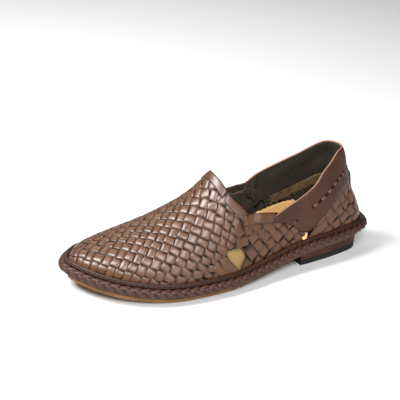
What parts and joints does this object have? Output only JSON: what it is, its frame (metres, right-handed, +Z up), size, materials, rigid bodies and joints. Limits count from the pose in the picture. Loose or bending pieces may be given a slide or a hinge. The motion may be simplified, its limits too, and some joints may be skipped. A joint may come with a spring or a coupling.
{
  "type": "woven leather slip-on shoe",
  "caption": "Left hand-woven leather slip-on with a cut-out at each side, a smooth collar band, a braided rand over a thin leather sole and a low stacked heel",
  "frame": {"origin": "on the floor, in the middle of the shoe's box", "axes": "-X to the toe, -Y to the outer side of the foot, +Z up"},
  "size_m": [0.292, 0.1078, 0.0991],
  "materials": {
    "woven_leather": "burnished brown leather straps, close basket weave, soft sheen",
    "band_leather": "smooth brown leather, cut edge paler",
    "braid_leather": "narrow brown thongs, braided",
    "sole_leather": "natural tan sole leather, matt",
    "midsole_leather": "dark brown dyed edge",
    "heel_leather": "red-brown stacked leather layers",
    "heel_rubber": "matt black rubber",
    "insole_leather": "golden tan leather, matt, pinked edge"
  },
  "bodies": {
    "root": {"outsole": "sole_leather", "midsole": "midsole_leather", "upper": "woven_leather", "insole": "insole_leather", "collar_band": "band_leather", "back_strap": "band_leather", "braided_rand": "braid_leather", "welt_cord": "braid_leather", "heel_stack": "heel_leather", "heel_top_piece": "heel_rubber"}
  },
  "joints": []
}
